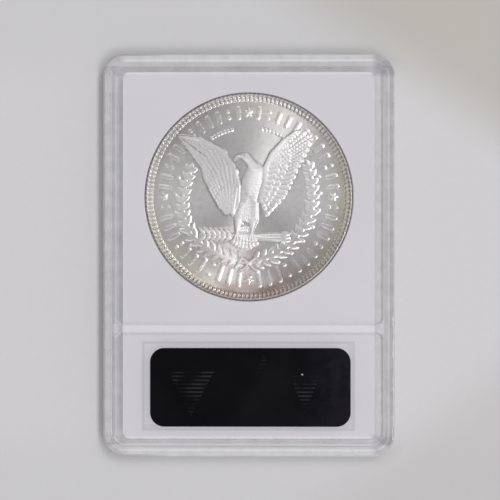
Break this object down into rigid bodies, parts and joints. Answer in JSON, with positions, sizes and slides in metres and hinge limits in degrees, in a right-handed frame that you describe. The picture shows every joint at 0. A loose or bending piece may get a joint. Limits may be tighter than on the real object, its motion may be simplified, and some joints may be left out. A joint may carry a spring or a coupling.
{
  "type": "graded coin slab",
  "caption": "Clear welded plastic holder with a white insert that displays a large relief coin, a dark foil security label on its rear and a paper grade label in front.",
  "frame": {"origin": "middle of the front shell's rim plane, which is the plane the slab lies on", "axes": "+Z leaves the rear face, +Y runs from the label end to the coin end, +X is to the right when the rear face is seen with the coin end up"},
  "size_m": [0.0534, 0.0734, 0.007],
  "materials": {
    "clear_shell": "polished",
    "white_insert": "satin",
    "coin_silver": "satin",
    "label_card": "matte",
    "dark_foil": "gloss"
  },
  "bodies": {
    "slab": {"front_shell": "clear_shell", "rear_shell": "clear_shell", "coin_insert": "white_insert", "grade_label": "label_card", "security_foil": "dark_foil"},
    "coin": {"coin": "coin_silver"}
  },
  "joints": [
    {"name": "coin_turn", "type": "hinge", "parent": "slab", "child": "coin", "pos_m": [0, 0.0107, 0.0035], "axis": [0, 0, 1], "continuous": true}
  ]
}
